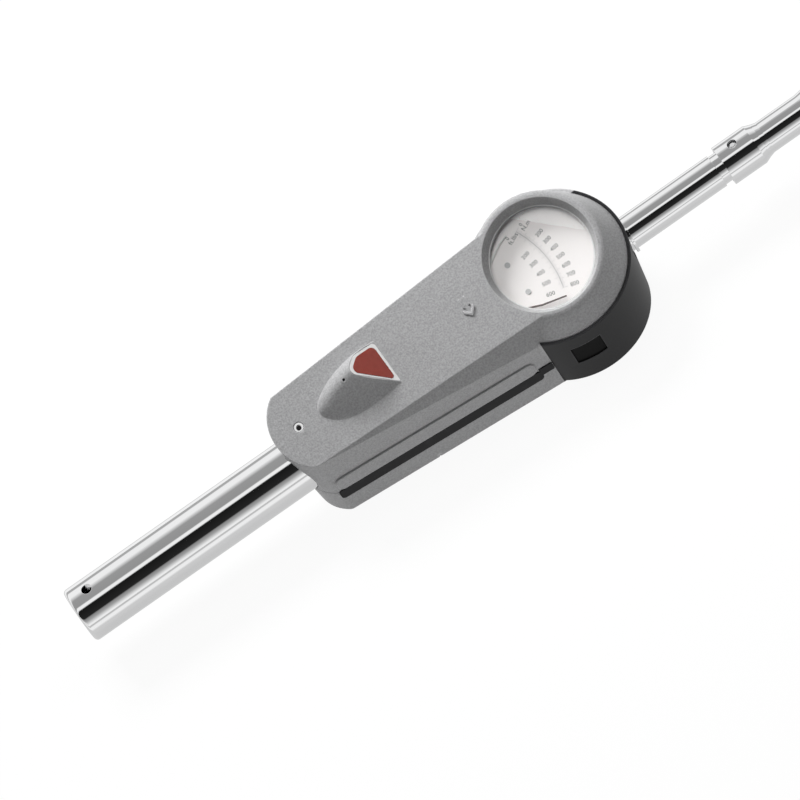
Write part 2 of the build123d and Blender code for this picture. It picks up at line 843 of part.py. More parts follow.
def arrow():
    """The raised arrow on the face, a chevron with two bars behind it."""
    tip, wing, stroke = arrow_tip_w, arrow_wing, arrow_stroke
    chevron = Polyline((-wing, tip + wing), (0, tip), (wing, tip + wing), (wing, tip + wing + stroke * 1.5),
                       (0, tip + stroke * 1.5), (-wing, tip + wing + stroke * 1.5), close=True)
    mark = make_face(chevron)
    for x in (-arrow_bar_x, arrow_bar_x):
        mark += Pos(x, arrow_bar_w) * Rectangle(stroke * 0.7, arrow_bar_len)
    return slab(Pos(arrow_x, 0) * mark, -wall / 2, arrow_proud)


def top_cover(gray):
    """The casing above the seam, with the window, the hump and the arrow."""
    cover = gray & raised(seam_z)
    cover += base_pillars(seam_z, cover_pillar_top, boss_d / 2 + rib)
    skirt = disc(2 * (recess_top_r + skirt_wall), 0, 0, skirt_low, -wall / 2)
    cover += skirt
    cover += [disc(post_d + 1, x, w, plate_n, -wall / 2) for x, w in post_spots]
    cover += disc(boss_d, rear_screw_x, rear_screw_w, pad_n, -wall / 2)
    cover += [disc(boss_d * 0.6, x, w, board_n, -wall / 2) for x, w in board_spots]
    cover += hump_form(0, -wall / 2) - above(cut_plane())
    cover += [grip_panel(side) for side in (-1, 1)]
    cover += arrow()
    cover -= hump_form(hump_skin, -wall * 2) - above(cut_plane(), -hump_skin)
    cover -= extrude(frame_outline(0.1), -lens_t * 4) + extrude(frame_outline(0.1), lens_t)
    cover -= disc(hump_hole_d, hump_hole_x, hump_hole_w, 0, big / 8)
    cover -= dial_recess()
    cover -= [disc(post_screw_d, x, w, plate_n - 1, post_screw_top) for x, w in post_spots]
    cover -= disc(screw_d, rear_screw_x, rear_screw_w, rear_screw_low, 0)
    cover -= disc(rear_head_d + 0.4, rear_screw_x, rear_screw_w, -rear_head_t, wall)
    cover -= disc(memory_stud_d, pivot_x, pivot_w, -wall - 4, -wall * 0.6)
    cover -= [disc(board_screw_d, x, w, board_n - 1, -wall * 0.8) for x, w in board_spots]
    notch = rod(tube_od + 2 * tube_play, x_dial - drum_r * 5, x_dial + body_rear + wall * 2)
    slot_x = x_dial + body_rear - wall * 2
    notch += Pos(slot_x, 0, seam_z / 2) * Box(8 * wall, tube_od + 2 * tube_play, -seam_z + 2)
    return cover - notch - base_screw_holes()


def gasket():
    """The flat ring above the glass."""
    return disc(2 * (glass_r + glass_play), 0, 0, -recess_depth - gasket_t, -recess_depth) - disc(
        2 * window_r, 0, 0, -recess_depth - gasket_t - 1, 0)


def dial_glass():
    """The window glass."""
    top = -recess_depth - gasket_t
    return disc(2 * glass_r, 0, 0, top - glass_t, top)


def glass_keeper():
    """The ring that holds the glass from below."""
    top = -recess_depth - gasket_t - glass_t
    return disc(2 * (glass_r + glass_play), 0, 0, top - keeper_t, top) - disc(
        2 * window_r, 0, 0, top - keeper_t - 1, 0)


def dial_card():
    """The printed card."""
    card = disc(2 * card_r, 0, 0, plate_n, card_n)
    return card - card_screws()


def dial_plate():
    """The plate that the card lies on."""
    outline = Circle(card_r) + plate_outline(-card_r / 2) - post_holes(post_screw_d)
    outline -= Pos(pivot_x, pivot_w) * Circle(bush_d / 2)
    outline -= Pos(stud_x, pivot_w) * Circle(stud_d / 2)
    return slab(outline, works_n, plate_n) - card_screws()


def card_screws():
    """The two screws that hold the card."""
    screws = Part()
    for x, w in card_screw_spots:
        screws += disc(card_screw_head, x, w, card_n, card_n + card_screw_head_t)
        screws += disc(card_screw_d, x, w, works_n - 0.6, card_n)
    return screws


def base_plate():
    """The lower plate of the movement."""
    outline = plate_outline(stud_x + sector_hub_d) - post_holes(post_screw_d)
    outline -= Pos(pivot_x, pivot_w) * Circle(bush_d / 2)
    outline -= Pos(stud_x, pivot_w) * Circle(stud_d / 2)
    outline -= Pos(pivot_x - hair_post_reach, pivot_w) * Circle(hair_post_d / 2)
    pin_slot = RectangleRounded(drive_pin_d * 2, drive_pin_d * 3, 1.5)
    outline -= Pos(stud_x - drive_pin_reach, pivot_w - 1) * pin_slot
    return slab(outline, works_low, base_plate_n)


def plate_spacers():
    """The spacers between the two plates."""
    return Part() + [disc(post_d, x, w, base_plate_n, works_n) - disc(post_screw_d, x, w, works_low, card_n)
                     for x, w in post_spots]


def plate_screws():
    """The screws that hang the movement from the cover."""
    screws = Part()
    for x, w in post_spots:
        screws += disc(post_screw_d, x, w, works_low, post_screw_top)
        screws += disc(post_screw_d * 1.8, x, w, works_low - post_head_t, works_low)
    return screws


def sector_stud():
    """The pin that the sector lever turns on."""
    return disc(stud_d, stud_x, pivot_w, works_low, plate_n)


def sector_lever():
    """The toothed lever that the bar moves."""
    lever = slab(sector_outline(), lever_low, lever_low + lever_t)
    hub = disc(sector_hub_d, stud_x, pivot_w, base_plate_n + 0.3, works_n - 0.3)
    return lever + hub - disc(stud_d + 2 * turn_play, stud_x, pivot_w, works_low, card_n)


def arbor_bushes():
    """The two bearings of the pinion arbor."""
    bushes = [disc(bush_d, pivot_x, pivot_w, works_low, base_plate_n + 0.1),
              disc(bush_d, pivot_x, pivot_w, works_n - 0.6, plate_n)]
    return Part() + [bush - disc(arbor_d + 2 * turn_play, pivot_x, pivot_w, works_low - 1, card_n + 1)
                     for bush in bushes]


def pinion_arbor():
    """The pinion and its shaft."""
    gear = slab(pinion_outline(), lever_low - 0.2, lever_low + lever_t + 0.4)
    return gear + disc(arbor_d, pivot_x, pivot_w, works_low + 0.1, hub_top)


def needle_hub():
    """The hub that the pointer is pressed on."""
    hub = disc(hub_d, pivot_x, pivot_w, plate_n + 0.3, hub_top)
    return hub - disc(arbor_d, pivot_x, pivot_w, works_low, 0)


def needle():
    """The pointer, at its zero."""
    place = Pos(pivot_x, pivot_w) * Rot(0, 0, zero_angle)
    return slab(place * needle_outline(), pointer_n - hand_t, pointer_n)


def pusher_pin():
    """The pin on the pointer that carries the memory hand along."""
    turn = radians(zero_angle + needle_crank)
    at = (pivot_x + pusher_reach * cos(turn), pivot_w + pusher_reach * sin(turn))
    return disc(pusher_d, *at, pointer_n, memory_n + 0.3)


def memory_hand():
    """The memory hand, at rest."""
    place = Pos(pivot_x, pivot_w) * Rot(0, 0, memory_angle)
    return slab(place * memory_outline(), memory_n - hand_t, memory_n)


def memory_hub():
    """The hub of the memory hand."""
    hub = disc(memory_hub_d, pivot_x, pivot_w, memory_n - 0.45, memory_n + 0.5)
    return hub - disc(memory_stud_d + 2 * turn_play, pivot_x, pivot_w, plate_n, 0)


def memory_stud():
    """The stud below the glass that the memory hand turns on."""
    stud = disc(memory_stud_d, pivot_x, pivot_w, memory_n - 0.8, -wall * 0.6)
    stud += disc(memory_hub_d, pivot_x, pivot_w, memory_n + 0.55, -wall)
    return stud + disc(memory_stud_d * 1.7, pivot_x, pivot_w, memory_n - 0.8, memory_n - 0.5)


def hairspring():
    """The spiral spring of the arbor."""
    return slab(spiral_outline(), base_plate_n + 0.2, base_plate_n + 0.8) - hair_post()


def hair_post():
    """The post that holds the outer end of the spiral."""
    return disc(hair_post_d, pivot_x - hair_post_reach, pivot_w, works_low, base_plate_n + 1)


def beam_collar():
    """The collar on the bar, milled flat under the movement, with the lug of the drive pin."""
    ring = rod(collar_d, x_dial + collar_x - collar_len / 2, x_dial + collar_x + collar_len / 2)
    lug = Box(collar_len, collar_len, lug_top - lug_low)
    lug = on_dial(collar_x, pivot_w, (lug_low + lug_top) / 2) * lug
    collar = ring + lug - rod(bar_d, x_dial + collar_x - collar_len, x_dial + collar_x + collar_len)
    collar -= on_dial(collar_x, 0, lug_top + collar_d) * Box(2 * collar_d, 4 * collar_d, 2 * collar_d)
    collar -= drive_pin()
    return collar - collar_screw()


def drive_pin():
    """The pin that moves the sector lever."""
    return disc(drive_pin_d, collar_x, pivot_w, drive_pin_low, works_n - 1.8)


def collar_screw():
    """The screw that clamps the collar on the bar."""
    return peg(screw_d, (x_dial + collar_x, 0), -collar_d / 2 - 1.5, -bar_d / 2)


def dust_shutter():
    """The plate on the bar behind the slot of the casing."""
    x = x_dial + shutter_x
    plate = Pos(x, 0, 0) * Box(shutter_t, shutter_w, shutter_h)
    return plate - rod(bar_d, x - shutter_t, x + shutter_t)


def exit_ring():
    """The bright ring where the bar leaves the casing."""
    return rod(exit_ring_d, exit_x - exit_ring_t / 2, exit_x + exit_ring_t / 2) - rod(
        bar_d, exit_x - exit_ring_t, exit_x + exit_ring_t)


def head_body():
    """The drive head: a sleeve over the bar's end, a smooth neck and a rounded head."""
    profile = Polyline((sleeve_mouth, 0), (sleeve_mouth, sleeve_d / 2), (sleeve_end, sleeve_d / 2),
                       (sleeve_end + 5, neck_d / 2 + 1.1), (sleeve_end + 9, neck_d / 2), (neck_front, neck_d / 2),
                       (neck_front, 0), close=True)
    body = revolve(make_face(Plane.XZ * profile), Axis.X)
    end = Plane(origin=(neck_front, 0, 0), x_dir=(0, 1, 0), z_dir=(1, 0, 0))
    middle = Plane(origin=(neck_front * 0.45, 0, 0), x_dir=(0, 1, 0), z_dir=(1, 0, 0))
    axis = Plane(origin=(0, 0, 0), x_dir=(0, 1, 0), z_dir=(1, 0, 0))
    body += loft([end * Circle(neck_d / 2), middle * Ellipse(head_w / 2 - 2.0, neck_d / 2 + 0.2),
                  axis * Ellipse(head_w / 2 - 0.3, head_h / 2)])
    knob = Cylinder(head_w / 2, head_h)
    rims = knob.edges().filter_by(GeomType.CIRCLE)
    body += fillet(rims, head_round)
    body -= rod(bar_d + 2 * spigot_play, sleeve_mouth - 1, bar_end + 1)
    body -= peg(button_hole_d, (button_x, 0), 0, sleeve_d)
    return body - peg(square_shank_d, (0, 0), -head_h, shank_top)


def drive_square():
    """The drive square with the bore of its ball."""
    block = Pos(0, 0, -head_h / 2 - square_reach / 2) * Box(square, square, square_reach)
    block = chamfer(block.edges().filter_by(Axis.Z), square_corner)
    block = chamfer(block.faces().sort_by(Axis.Z)[0].edges(), square_lead)
    block += peg(square_shank_d, (0, 0), -head_h / 2, shank_top)
    block = Rot(0, 0, square_turn) * block
    return block - ball_tube(ball_d + 2 * turn_play, square / 2 - ball_bore_depth, square)


def ball_tube(d, start, end):
    """A cylinder on the ball's axis, measured from the square's own axis."""
    place = Plane(origin=(start, 0, ball_z), x_dir=(0, 1, 0), z_dir=(1, 0, 0))
    return Rot(0, 0, square_turn) * extrude(place * Circle(d / 2), end - start)


def drive_ball():
    """The ball that holds a socket."""
    return Rot(0, 0, square_turn) * Pos(ball_x, 0, ball_z) * Sphere(ball_d / 2)


def ball_spring():
    """The small spring behind the ball, drawn as a tube."""
    low = square / 2 - ball_bore_depth
    return ball_tube(ball_d * 0.7, low, ball_x - ball_d * 0.45) - ball_tube(ball_d * 0.45, low - 1, ball_x)


def lock_button():
    """The button that locks the head on the bar."""
    button = peg(button_d, (button_x, 0), button_foot, button_shoulder)
    button += peg(button_nose_d, (button_x, 0), button_shoulder, button_top)
    nose = button.edges().filter_by(GeomType.CIRCLE).sort_by(Axis.Z)[-1]
    return fillet(nose, button_round)


def button_spring():
    """The spring below the button, drawn as a tube."""
    return peg(button_d * 0.8, (button_x, 0), button_floor, button_foot) - peg(
        button_d * 0.5, (button_x, 0), button_floor - 1, button_foot + 1)


def battery():
    """The battery of the lamp."""
    box = Pos(x_dial + battery_x, 0, battery_low + battery_h / 2) * Box(battery_len, battery_w, battery_h)
    return fillet(box.edges().filter_by(Axis.X), 2.0)


def battery_contacts():
    """Two spring plates that stand at the battery's ends."""
    low = z_base + wall
    high = battery_low + battery_h
    plates = []
    for side in (-1, 1):
        x = x_dial + battery_x + side * (battery_len + 1 + contact_t) / 2
        plates.append(Pos(x, 0, (low + high) / 2) * Box(contact_t, battery_w * 0.9, high - low))
    return Part() + plates


def lamp_board():
    """The small board below the signal window."""
    board = on_dial(board_x, board_w, board_n - board_t / 2) * Box(board_len, board_wide, board_t)
    return board - board_screws() - lamp()


def board_screws():
    """The two screws of the board."""
    screws = Part()
    for x, w in board_spots:
        screws += disc(board_screw_d, x, w, board_n - board_t, -wall * 0.8)
        screws += disc(board_screw_d * 1.8, x, w, board_n - board_t - 1.2, board_n - board_t)
    return screws


def lamp():
    """The lamp with its two legs."""
    bulb = disc(lamp_d, lamp_x, lamp_w, board_n, lamp_top)
    bulb = fillet(bulb.edges().filter_by(GeomType.CIRCLE).sort_by(
        Axis(dial_origin, dial_plane.z_dir))[-1], lamp_d * 0.4)
    legs = [disc(0.6, lamp_x + s * 1.27, lamp_w, board_n - board_t - 1, board_n) for s in (-1, 1)]
    return bulb + legs


def signal_lens():
    """The red window of the lamp."""
    outline = lens_outline()
    return extrude(outline, lens_crown) + extrude(outline, -lens_t)


def lens_bezel():
    """The thin frame of the window."""
    outline = frame_outline() - lens_outline()
    return extrude(outline, lens_crown * 0.4) + extrude(outline, -lens_t - 0.6)


def rear_screw():
    """The screw at the rear of the cover."""
    head = disc(rear_head_d, rear_screw_x, rear_screw_w, -rear_head_t, -0.2)
    screw = head + disc(screw_d, rear_screw_x, rear_screw_w, rear_screw_low, -rear_head_t)
    return screw - disc(rear_socket_d, rear_screw_x, rear_screw_w, -rear_head_t * 0.8, 1)


outer_form = casing_form(0, 0)
pillar_zone = casing_form(strip_depth + 0.4, shell_t)
shell_raw = front_shell(outer_form)
gray = outer_form - shell_raw - inner_form()
openings = exit_slot(exit_play) + ring_pocket()
seam_groove = (outer_form - casing_form(seam_depth, seam_depth)) & (
    Pos(x_dial, 0, seam_z) * Box(3 * big, 3 * big, seam_w))
strips = [side_strip(side) for side in (-1, 1)]
grooves = [extrude(strip_outline(side), -strip_depth) for side in (-1, 1)]
gray -= grooves
gray -= openings
gray -= seam_groove

parts = {
    "handle_tube": handle_tube(),
    "root_bush": root_bush(),
    "root_pin": root_pin(),
    "pin_clips": pin_clips(),
    "clamp_saddles": clamp_saddles(),
    "clamp_straps": clamp_straps(),
    "clamp_screws": clamp_screws(),
    "lower_tray": lower_tray(gray),
    "top_cover": top_cover(gray),
    "front_shell": shell_raw - openings - clip_windows(0.15) - base_screw_holes(),
    "shell_clips": shell_clips(),
    "side_strips": Part() + strips,
    "base_screws": base_screws(),
    "rear_screw": rear_screw(),
    "battery_door": battery_door(),
    "door_screw": door_screw(),
    "battery": battery(),
    "battery_contacts": battery_contacts(),
    "lamp_board": lamp_board(),
    "board_screws": board_screws(),
    "lamp": lamp(),
    "signal_lens": signal_lens(),
    "lens_bezel": lens_bezel(),
    "glass_gasket": gasket(),
    "dial_glass": dial_glass(),
    "glass_keeper": glass_keeper(),
    "dial_card": dial_card(),
    "card_screws": card_screws(),
    "dial_plate": dial_plate(),
    "base_plate": base_plate(),
    "plate_spacers": plate_spacers(),
    "plate_screws": plate_screws(),
    "sector_stud": sector_stud(),
    "sector_lever": sector_lever(),
    "arbor_bushes": arbor_bushes(),
    "pinion_arbor": pinion_arbor(),
    "needle_hub": needle_hub(),
    "needle": needle(),
    "pusher_pin": pusher_pin(),
    "memory_hand": memory_hand(),
    "memory_hub": memory_hub(),
    "memory_stud": memory_stud(),
    "hairspring": hairspring(),
    "hair_post": hair_post(),
    "beam_bar": beam_bar(),
    "beam_collar": beam_collar(),
    "drive_pin": drive_pin(),
    "collar_screw": collar_screw(),
    "dust_shutter": dust_shutter(),
    "exit_ring": exit_ring(),
    "head_body": head_body(),
    "drive_square": drive_square(),
    "drive_ball": drive_ball(),
    "ball_spring": ball_spring(),
    "lock_button": lock_button(),
    "button_spring": button_spring(),
}

for node, shape in parts.items():
    export_step(shape, f"parts/{node}.step")
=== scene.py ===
import bpy
import json
from math import cos, pi, radians, sin
from mathutils import Matrix, Vector


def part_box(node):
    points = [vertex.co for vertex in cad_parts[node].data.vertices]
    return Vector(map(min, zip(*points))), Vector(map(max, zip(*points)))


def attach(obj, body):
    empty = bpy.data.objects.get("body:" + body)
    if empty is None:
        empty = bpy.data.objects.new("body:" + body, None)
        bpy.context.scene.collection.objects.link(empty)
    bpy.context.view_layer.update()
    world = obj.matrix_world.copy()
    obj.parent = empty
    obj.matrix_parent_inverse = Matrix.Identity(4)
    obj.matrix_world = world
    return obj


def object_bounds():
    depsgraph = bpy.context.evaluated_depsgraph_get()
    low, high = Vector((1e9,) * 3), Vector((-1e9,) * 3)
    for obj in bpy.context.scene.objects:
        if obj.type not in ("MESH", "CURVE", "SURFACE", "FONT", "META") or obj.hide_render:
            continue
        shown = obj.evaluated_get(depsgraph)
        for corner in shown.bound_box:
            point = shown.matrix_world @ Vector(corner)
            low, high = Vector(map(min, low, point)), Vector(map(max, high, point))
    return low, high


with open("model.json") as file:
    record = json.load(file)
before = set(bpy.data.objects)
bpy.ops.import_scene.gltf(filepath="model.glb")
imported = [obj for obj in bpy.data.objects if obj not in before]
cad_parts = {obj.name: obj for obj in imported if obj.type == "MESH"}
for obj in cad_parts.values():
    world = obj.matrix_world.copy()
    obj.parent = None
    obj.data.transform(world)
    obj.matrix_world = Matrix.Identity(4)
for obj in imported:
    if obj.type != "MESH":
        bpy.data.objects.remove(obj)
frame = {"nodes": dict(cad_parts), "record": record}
cad_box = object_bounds()
scene = bpy.context.scene

# Camera: a long lens at the photograph's angle, rolled so that the tool rises to the right
ELEVATION = radians(51)
ROLL = radians(34.97)
TARGET = Vector((-0.3922, -0.0218, 0.020))
DISTANCE = 6.0
FOCAL_MM = 378.0

# The dial's plane, as in the CAD: x runs forward, y up the slope, z out of the face
DIAL_CENTRE = (-0.251, -0.005, 0.0437)
PITCH = radians(1.5)
TILT = radians(25)
AHEAD = Vector((cos(PITCH), 0, sin(PITCH)))
SLOPE = Vector((0, cos(TILT), sin(TILT)))
NORMAL = AHEAD.cross(SLOPE).normalized()
DIAL_TURN = Matrix((AHEAD, NORMAL.cross(AHEAD), NORMAL)).transposed().to_4x4()
DIAL = Matrix.Translation(DIAL_CENTRE) @ DIAL_TURN

# The card's print, in that plane: radii around the pointer's pivot in metres, angles in degrees
PIVOT = (-0.073, -0.0048)
CARD_N = -0.0154
PRINT_N = CARD_N + 0.00004
ZERO = 25.2
PER_NM = 5.2 / 100
PER_LBF = PER_NM * 1.35582
TOP_NM = 800
TOP_LBF = 600
FIRST_NUMERAL = 200
ARC = 0.0760
ARC_HALF_WIDTH = 0.0001
ARC_STEPS = 60
NM_RADIUS = 0.0846
LBF_RADIUS = 0.0658
NUMERAL_SIZE = 0.0042
ZERO_SIZE = 0.0038
UNIT_SIZE = 0.0046
# The inner numerals stand above their ticks, by less as the load grows
LBF_LIFT = 2.0
LBF_LIFT_LOSS = 0.004

# The rear screw's socket, painted dark as the shade in its recess
SOCKET_RADIUS = 0.00185

# The floor, and the bands that chrome mirrors in it: (place from near to far, brightness)
FLOOR_HALF = 6.0
FLOOR_DROP = 0.0002
BANDS_FROM, BANDS_TO = -1.6, 0.4
FLOOR_BANDS = ((0.0, 1.0), (0.14, 1.0), (0.34, 0.55), (0.60, 0.55), (0.67, 1.0),
               (0.73, 1.0), (0.75, 0.67), (0.86, 0.67), (0.88, 1.0))

# The surroundings: (degrees around the tool's long axis, strength), where 0 is level on the
# camera's side, 90 is straight up and 180 is level behind. Glossy rays see the studio, with its
# dark card and strip lights, diffuse rays the soft sky, and the camera plain white.
STUDIO_SKY = ((-180, 0.45), (-30, 1.0), (3, 1.0), (9, 0.75), (19, 0.40), (28, 0.28),
              (32, 0.02), (68, 0.01), (71, 1.0), (81, 1.0), (84, 0.34), (116, 0.36),
              (136, 1.0), (161, 1.0), (165, 0.45), (180, 0.45))
SOFT_SKY = ((-180, 0.5), (-90, 0.5), (0, 0.01), (80, 0.01), (110, 0.60), (180, 0.60))


def add_object(name, data):
    """A new object in the scene."""
    obj = bpy.data.objects.new(name, data)
    scene.collection.objects.link(obj)
    return obj


def make_camera():
    along = Vector((1, 0, 0))
    forward = Vector((0, cos(ELEVATION), -sin(ELEVATION)))
    up = Vector((0, sin(ELEVATION), cos(ELEVATION)))
    right_img = along * cos(ROLL) - up * sin(ROLL)
    up_img = along * sin(ROLL) + up * cos(ROLL)
    camera = bpy.data.cameras.new("camera")
    camera.lens = FOCAL_MM
    camera.sensor_width = 36
    camera.clip_start = 0.1
    camera.clip_end = 50
    obj = add_object("camera", camera)
    rotation = Matrix((right_img, up_img, -forward)).transposed().to_4x4()
    obj.matrix_world = Matrix.Translation(TARGET - forward * DISTANCE) @ rotation
    scene.camera = obj


# Material helpers
class Tree:
    """A material's node tree with short ways to add nodes."""

    def __init__(self, name):
        self.mat = bpy.data.materials.new(name)
        self.mat.use_nodes = True
        self.nodes = self.mat.node_tree.nodes
        self.links = self.mat.node_tree.links
        self.bsdf = self.nodes["Principled BSDF"]
        self.coord = self.nodes.new("ShaderNodeTexCoord").outputs["Object"]

    def add(self, kind, **settings):
        node = self.nodes.new("ShaderNode" + kind)
        for key, value in settings.items():
            setattr(node, key, value)
        return node

    def put(self, node, key, value):
        """Links a socket's value, or sets it if it is a constant."""
        socket = node.inputs[key]
        if isinstance(value, bpy.types.NodeSocket):
            self.links.new(value, socket)
        else:
            socket.default_value = value

    def noise(self, scale, detail=4, rough=0.55, stretch=None):
        vector = self.coord
        if stretch:
            mapping = self.add("Mapping")
            self.put(mapping, "Vector", self.coord)
            mapping.inputs["Scale"].default_value = stretch
            vector = mapping.outputs["Vector"]
        node = self.add("TexNoise")
        self.put(node, "Vector", vector)
        self.put(node, "Scale", scale)
        self.put(node, "Detail", detail)
        self.put(node, "Roughness", rough)
        return node.outputs["Fac"]

    def cells(self, scale):
        node = self.add("TexVoronoi", feature="F1")
        self.put(node, "Vector", self.coord)
        self.put(node, "Scale", scale)
        return node.outputs["Distance"]

    def ramp(self, fac, *stops):
        """Greys between stops of (place, brightness)."""
        node = self.add("ValToRGB")
        self.put(node, "Fac", fac)
        elements = node.color_ramp.elements
        while len(elements) < len(stops):
            elements.new(0.5)
        for element, (place, grey) in zip(elements, stops):
            element.position = place
            element.color = (grey, grey, grey, 1)
        return node.outputs["Color"]

    def span(self, fac, low, high, start=0.0, end=1.0):
        """Low to high while fac goes from start to end."""
        node = self.add("MapRange")
        self.put(node, "Value", fac)
        self.put(node, "From Min", start)
        self.put(node, "From Max", end)
        self.put(node, "To Min", low)
        self.put(node, "To Max", high)
        return node.outputs["Result"]

    def maths(self, operation, a, b):
        node = self.add("Math", operation=operation)
        self.put(node, 0, a)
        self.put(node, 1, b)
        return node.outputs[0]

    def vectors(self, operation, a, b):
        """A vector sum: a is a socket, and b a socket or three numbers."""
        node = self.add("VectorMath", operation=operation)
        self.put(node, 0, a)
        self.put(node, 1, b)
        return node.outputs

    def mix(self, fac, a, b):
        """Colours a and b, mixed by fac."""
        node = self.add("Mix", data_type="RGBA")
        self.put(node, "Factor", fac)
        for socket, value in ((node.inputs[6], a), (node.inputs[7], b)):
            if isinstance(value, bpy.types.NodeSocket):
                self.links.new(value, socket)
            else:
                socket.default_value = (*value, 1)
        return node.outputs[2]

    def mix_shader(self, fac, a, b):
        node = self.add("MixShader")
        for socket, value in zip(node.inputs, (fac, a, b)):
            self.links.new(value, socket)
        return node.outputs[0]

    def bump(self, height, distance, strength=1.0, under=None):
        node = self.add("Bump")
        self.put(node, "Height", height)
        node.inputs["Distance"].default_value = distance
        node.inputs["Strength"].default_value = strength
        if under is not None:
            self.links.new(under, node.inputs["Normal"])
        return node.outputs["Normal"]

    def rounded(self, radius):
        """The normal with every edge rounded."""
        node = self.add("Bevel", samples=6)
        node.inputs["Radius"].default_value = radius
        return node.outputs["Normal"]

    def edge_wear(self, radius, sharp=0.06):
        """1 on edges, 0 on open faces, from how far the rounded normal leans from the true one;
        the mask for painted edge highlights.
        """
        geometry = self.add("NewGeometry")
        lean = self.vectors("DOT_PRODUCT", self.rounded(radius), geometry.outputs["Normal"])
        return self.span(lean["Value"], 1.0, 0.0, 1.0 - sharp, 1.0)

    def base(self, value):
        is_socket = isinstance(value, bpy.types.NodeSocket)
        self.put(self.bsdf, "Base Color", value if is_socket else (*value, 1))


def shaded(colour, factor):
    """A colour made darker or lighter."""
    return tuple(min(c * factor, 1) for c in colour)


def socket_screw(name, centre, axis, radius):
    """A bright screw head whose socket is painted dark as its shade, by the distance from the
    screw's own axis.
    """
    t = Tree(name)
    lines = t.noise(1500, detail=3, rough=0.6)
    away = t.vectors("SUBTRACT", t.coord, centre)
    cross = t.vectors("CROSS_PRODUCT", away[0], axis)
    length = t.add("VectorMath", operation="LENGTH")
    t.links.new(cross[0], length.inputs[0])
    # Painted shade: the socket is a near-black disc around the screw's own axis.
    socket_shade = t.span(length.outputs["Value"], 1.0, 0.0, radius, radius * 1.12)
    bright = t.mix(lines, (0.80, 0.80, 0.80), (0.90, 0.90, 0.90))
    t.base(t.mix(socket_shade, bright, (0.02, 0.02, 0.02)))
    t.bsdf.inputs["Metallic"].default_value = 1.0
    t.put(t.bsdf, "Roughness", t.span(lines, 0.10, 0.22))
    t.put(t.bsdf, "Normal",
          t.bump(lines, distance=0.00001, strength=0.3, under=t.rounded(0.0003)))
    return t.mat


def chrome(tint=0.86, rough=0.05):
    """Polished chrome, with faint smears along the tool."""
    t = Tree("chrome")
    smear = t.noise(60, detail=5, rough=0.6, stretch=(0.35, 1, 1))
    fine = t.noise(900, detail=3, rough=0.6, stretch=(0.15, 1, 1))
    t.base(t.mix(smear, (tint * 0.95, tint * 0.955, tint * 0.965), (tint, tint, tint)))
    t.bsdf.inputs["Metallic"].default_value = 1.0
    blur = t.maths("MULTIPLY", smear, fine)
    t.put(t.bsdf, "Roughness", t.span(blur, rough * 0.6, rough * 1.9))
    t.put(t.bsdf, "Normal",
          t.bump(fine, distance=0.00001, strength=0.25, under=t.rounded(0.0005)))
    return t.mat


def steel(name, colour=(0.5, 0.51, 0.53), rough=0.32, grain=(0.1, 1, 1)):
    """Ground steel; grain stretches the grinding lines."""
    t = Tree(name)
    grind = t.noise(1800, detail=4, rough=0.6, stretch=grain)
    stain = t.noise(90, detail=4, rough=0.6)
    t.base(t.mix(stain, shaded(colour, 0.72), colour))
    t.bsdf.inputs["Metallic"].default_value = 1.0
    t.put(t.bsdf, "Roughness", t.span(grind, rough * 0.7, rough * 1.3))
    t.put(t.bsdf, "Normal",
          t.bump(grind, distance=0.00002, strength=0.5, under=t.rounded(0.0003)))
    return t.mat


def moulded(name, colour, rough, grain_mm, depth_mm, edge=1.0, highlight_gain=1.25, shine=0.4):
    """Moulded plastic with a spark-eroded grain; a painted highlight lightens its edges, as much
    as edge says.
    """
    rounding = 0.0011
    t = Tree(name)
    grain = t.noise(1000 / grain_mm, detail=3, rough=0.5)
    pits = t.cells(1000 / (grain_mm * 1.4))
    cloud = t.noise(35, detail=4, rough=0.6)
    height = t.maths("ADD", grain, t.maths("MULTIPLY", pits, 0.6))
    shade = t.mix(cloud, shaded(colour, 0.94), shaded(colour, 1.05))
    speck = t.ramp(grain, (0.36, 0.82), (0.64, 1.10))
    mult = t.add("Mix", data_type="RGBA", blend_type="MULTIPLY")
    mult.inputs["Factor"].default_value = 1.0
    t.links.new(shade, mult.inputs[6])
    t.links.new(speck, mult.inputs[7])
    # Painted highlight: edges blend towards a brighter copy of the colour, standing in for light
    # caught on the rounded edges.
    fac = t.maths("MULTIPLY", t.edge_wear(rounding * 1.3), edge)
    t.base(t.mix(fac, mult.outputs[2], shaded(colour, highlight_gain)))
    t.put(t.bsdf, "Roughness", t.span(grain, rough * 0.9, rough * 1.12))
    t.put(t.bsdf, "Normal",
          t.bump(height, distance=depth_mm / 1000, under=t.rounded(rounding)))
    t.bsdf.inputs["Specular IOR Level"].default_value = shine
    return t.mat


def rubber(name, colour=(0.010, 0.010, 0.011), shine=0.22):
    """Matt black, with a little dust."""
    t = Tree(name)
    grain = t.noise(1400, detail=3, rough=0.6)
    dust = t.noise(120, detail=5, rough=0.65)
    t.base(t.mix(t.ramp(dust, (0.5, 0.0), (0.8, 1.0)), colour, shaded(colour, 2.2)))
    t.put(t.bsdf, "Roughness", t.span(grain, 0.48, 0.68))
    t.put(t.bsdf, "Normal",
          t.bump(grain, distance=0.00003, strength=0.7, under=t.rounded(0.0006)))
    t.bsdf.inputs["Specular IOR Level"].default_value = shine
    return t.mat


